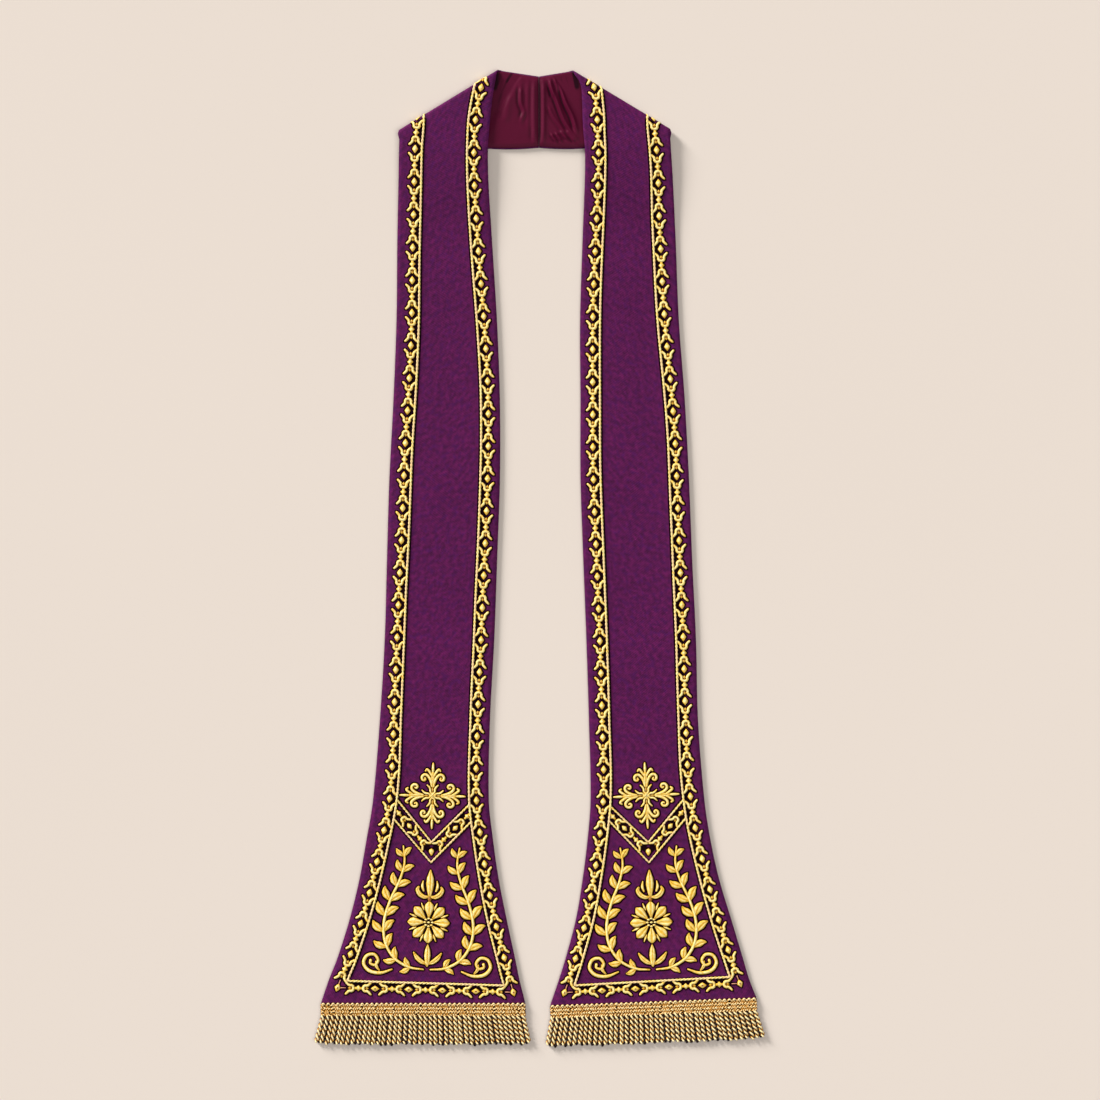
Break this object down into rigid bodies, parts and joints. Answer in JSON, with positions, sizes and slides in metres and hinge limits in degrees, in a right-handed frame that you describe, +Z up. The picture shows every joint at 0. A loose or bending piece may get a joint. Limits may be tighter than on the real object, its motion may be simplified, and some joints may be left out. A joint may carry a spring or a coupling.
{
  "type": "clerical stole",
  "caption": "Embroidered clerical stole laid flat: flared fringed ends face up, folded back at the shoulders so that the lined neck part shows its satin side.",
  "frame": {"origin": "on the surface it lies on, below the middle of its outline", "axes": "+Y from the fringed hems to the neck part, +X to the right seen from above, +Z up out of the surface"},
  "size_m": [0.4951, 1.0758, 0.0087],
  "materials": {
    "face_cloth": "matt purple crepe",
    "lining_satin": "soft burgundy satin",
    "gold_thread": "lustrous gold satin stitch",
    "fringe_thread": "twisted gold fringe thread"
  },
  "bodies": {
    "root": {"left_face_end": "face_cloth", "left_face": "face_cloth", "left_face_neck": "face_cloth", "left_lining_end": "lining_satin", "left_lining": "lining_satin", "left_lining_neck": "lining_satin", "left_fringe": "fringe_thread", "left_cord_frame": "gold_thread", "left_border_outer": "gold_thread", "left_border_inner": "gold_thread", "left_border_hem": "gold_thread", "left_v_cord_upper": "gold_thread", "left_v_cord_lower": "gold_thread", "left_v_chain": "gold_thread", "left_cross": "gold_thread", "left_rosette": "gold_thread", "left_trefoil": "gold_thread", "left_bud": "gold_thread", "left_branch_outer": "gold_thread", "left_branch_inner": "gold_thread", "left_tendril_outer": "gold_thread", "left_tendril_inner": "gold_thread", "right_face_end": "face_cloth", "right_face": "face_cloth", "right_face_neck": "face_cloth", "right_lining_end": "lining_satin", "right_lining": "lining_satin", "right_lining_neck": "lining_satin", "right_fringe": "fringe_thread", "right_cord_frame": "gold_thread", "right_border_outer": "gold_thread", "right_border_inner": "gold_thread", "right_border_hem": "gold_thread", "right_v_cord_upper": "gold_thread", "right_v_cord_lower": "gold_thread", "right_v_chain": "gold_thread", "right_cross": "gold_thread", "right_rosette": "gold_thread", "right_trefoil": "gold_thread", "right_bud": "gold_thread", "right_branch_outer": "gold_thread", "right_branch_inner": "gold_thread", "right_tendril_outer": "gold_thread", "right_tendril_inner": "gold_thread"}
  },
  "joints": []
}
